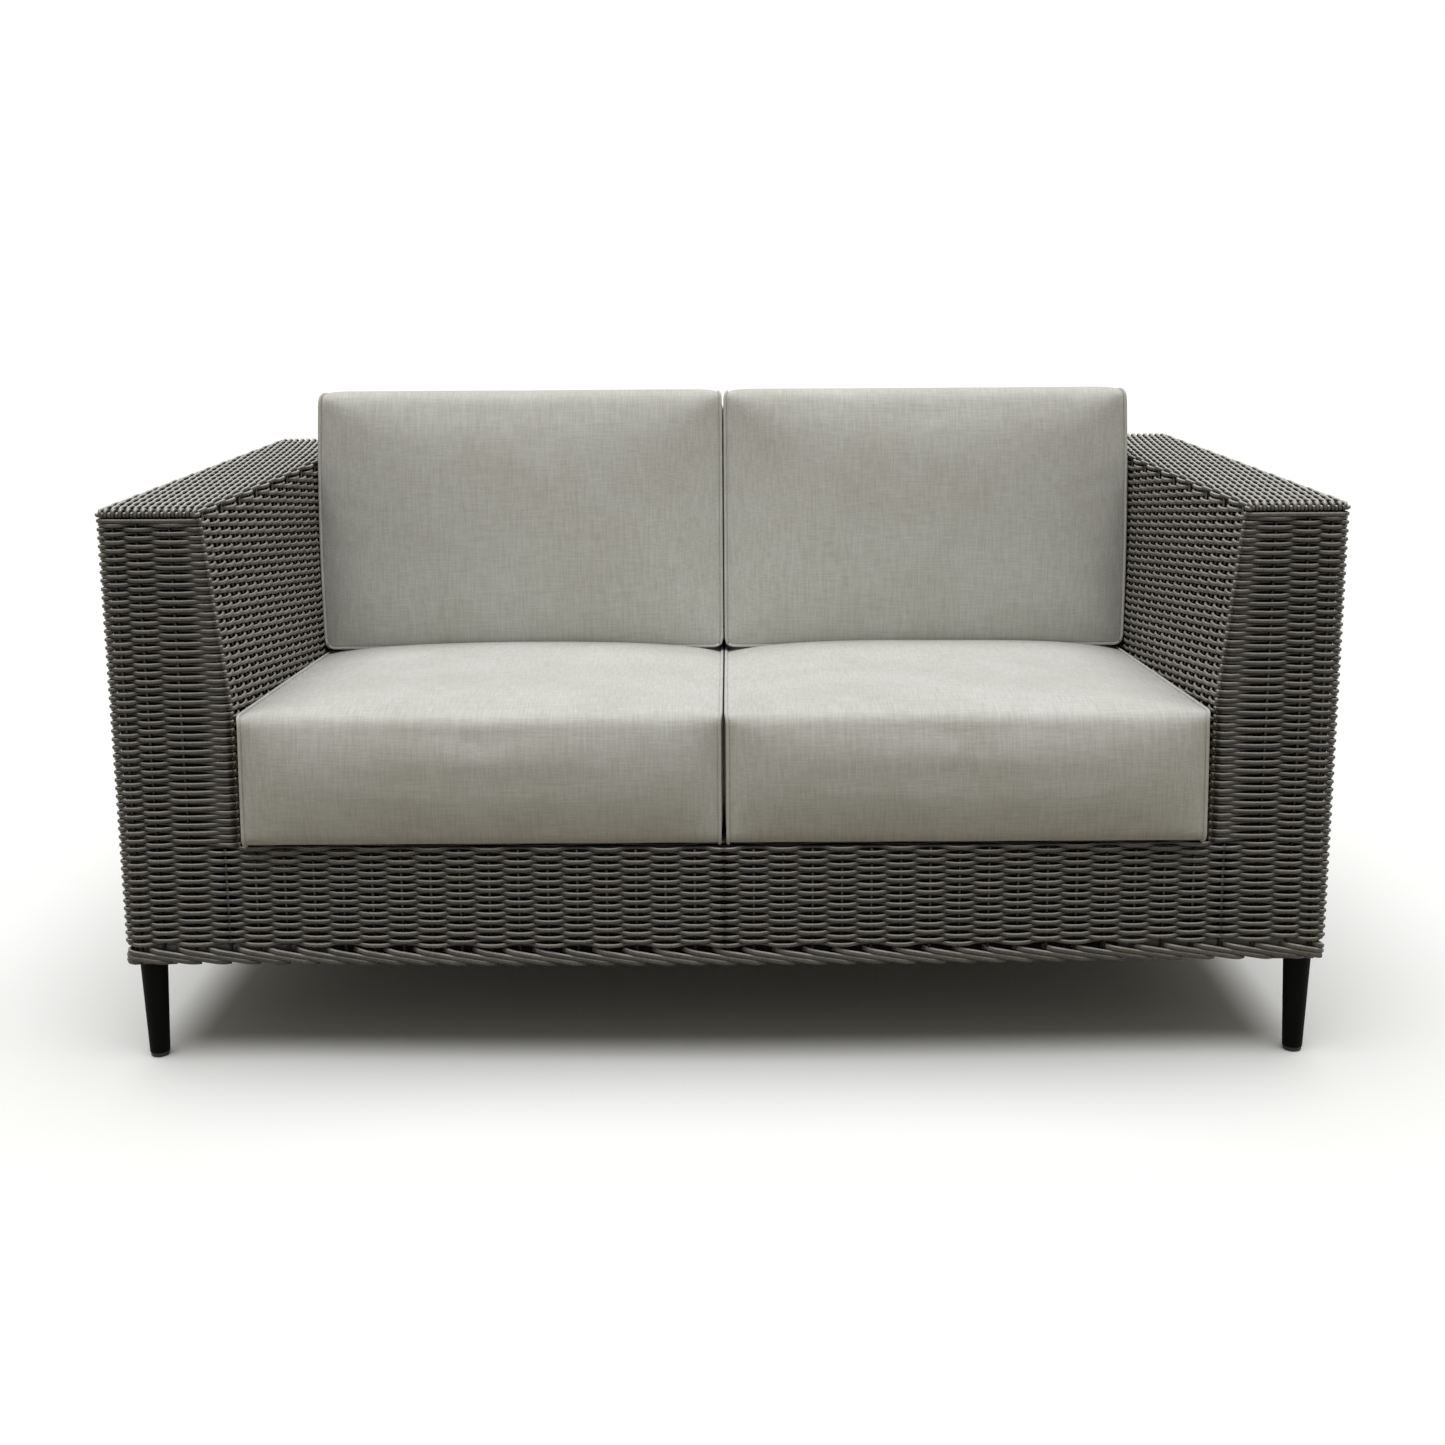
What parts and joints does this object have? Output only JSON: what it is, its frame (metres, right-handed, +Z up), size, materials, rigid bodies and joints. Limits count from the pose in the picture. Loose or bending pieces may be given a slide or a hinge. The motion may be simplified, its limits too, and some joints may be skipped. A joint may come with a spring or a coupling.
{
  "type": "patio loveseat",
  "caption": "Boxy woven wicker patio loveseat with a welded tube frame, slim tapered legs and loose box cushions for the seat and the back.",
  "frame": {"origin": "on the floor, under the middle of the bounding box", "axes": "+X along the length of the seat, -Y towards the front where people sit down, +Z up"},
  "size_m": [1.4994, 0.892, 0.8044],
  "materials": {
    "wicker": "round resin strand, woven, matte grey-brown",
    "frame_tube": "powder coated tube",
    "slat": "powder coated flat bar",
    "leg": "satin black powder coat",
    "steel": "zinc plated thread",
    "glide": "moulded black glide",
    "cushion_fabric": "fine woven outdoor fabric, greige",
    "foam": "open-cell foam block",
    "fibre_fill": "polyester fibre fill",
    "zip_tape": "woven zip tape with a coil",
    "zip_metal": "lacquered slider"
  },
  "bodies": {
    "tub": {"weave_arm_left": "wicker", "weave_arm_right": "wicker", "weave_back_inner": "wicker", "weave_back_top": "wicker", "weave_back_outer": "wicker", "weave_apron": "wicker", "weave_deck": "wicker", "border_front": "wicker", "border_rear": "wicker", "border_side_left": "wicker", "border_side_right": "wicker", "front_rail_lower": "frame_tube", "rear_rail_lower": "frame_tube", "side_rail_left": "frame_tube", "side_rail_right": "frame_tube", "back_rail_rear": "frame_tube", "back_rail_front": "frame_tube", "arm_rail_outer_left": "frame_tube", "arm_rail_outer_right": "frame_tube", "arm_rail_inner_left": "frame_tube", "arm_rail_inner_right": "frame_tube", "arm_post_outer_left": "frame_tube", "arm_post_outer_right": "frame_tube", "arm_post_inner_left": "frame_tube", "arm_post_inner_right": "frame_tube", "rear_post_left": "frame_tube", "rear_post_right": "frame_tube", "back_post_middle": "frame_tube", "back_stays": "frame_tube", "front_rail_deck": "frame_tube", "rear_rail_deck": "frame_tube", "deck_rail_left": "frame_tube", "deck_rail_right": "frame_tube", "deck_bearer": "frame_tube", "deck_posts": "frame_tube", "deck_slats": "slat", "leg_front_left": "leg", "leg_front_right": "leg", "leg_rear_left": "leg", "leg_rear_right": "leg", "leg_plates": "frame_tube", "leg_studs": "steel", "leg_glides": "glide"},
    "seat_cushion_left": {"seat_cushion_cover_left": "cushion_fabric", "seat_cushion_core_left": "foam", "seat_cushion_zip_left": "zip_tape"},
    "seat_zip_slider_left": {"seat_cushion_zip_slider_left": "zip_metal"},
    "seat_cushion_right": {"seat_cushion_cover_right": "cushion_fabric", "seat_cushion_core_right": "foam", "seat_cushion_zip_right": "zip_tape"},
    "seat_zip_slider_right": {"seat_cushion_zip_slider_right": "zip_metal"},
    "back_cushion_left": {"back_cushion_cover_left": "cushion_fabric", "back_cushion_core_left": "fibre_fill", "back_cushion_zip_left": "zip_tape"},
    "back_zip_slider_left": {"back_cushion_zip_slider_left": "zip_metal"},
    "back_cushion_right": {"back_cushion_cover_right": "cushion_fabric", "back_cushion_core_right": "fibre_fill", "back_cushion_zip_right": "zip_tape"},
    "back_zip_slider_right": {"back_cushion_zip_slider_right": "zip_metal"}
  },
  "joints": [
    {"name": "seat_left_slide", "type": "slide", "parent": "tub", "child": "seat_cushion_left", "axis": [0, -0.9979, 0.0654], "range_m": [0, 0.72]},
    {"name": "seat_left_zip", "type": "slide", "parent": "seat_cushion_left", "child": "seat_zip_slider_left", "axis": [-1, 0, 0], "range_m": [0, 0.38]},
    {"name": "seat_right_slide", "type": "slide", "parent": "tub", "child": "seat_cushion_right", "axis": [0, -0.9979, 0.0654], "range_m": [0, 0.72]},
    {"name": "seat_right_zip", "type": "slide", "parent": "seat_cushion_right", "child": "seat_zip_slider_right", "axis": [1, 0, 0], "range_m": [0, 0.38]},
    {"name": "back_left_lift", "type": "slide", "parent": "tub", "child": "back_cushion_left", "axis": [0, 0.0958, 0.9954], "range_m": [0, 0.32]},
    {"name": "back_left_zip", "type": "slide", "parent": "back_cushion_left", "child": "back_zip_slider_left", "axis": [1, 0, 0], "range_m": [0, 0.38]},
    {"name": "back_right_lift", "type": "slide", "parent": "tub", "child": "back_cushion_right", "axis": [0, 0.0958, 0.9954], "range_m": [0, 0.32]},
    {"name": "back_right_zip", "type": "slide", "parent": "back_cushion_right", "child": "back_zip_slider_right", "axis": [-1, 0, 0], "range_m": [0, 0.38]}
  ]
}
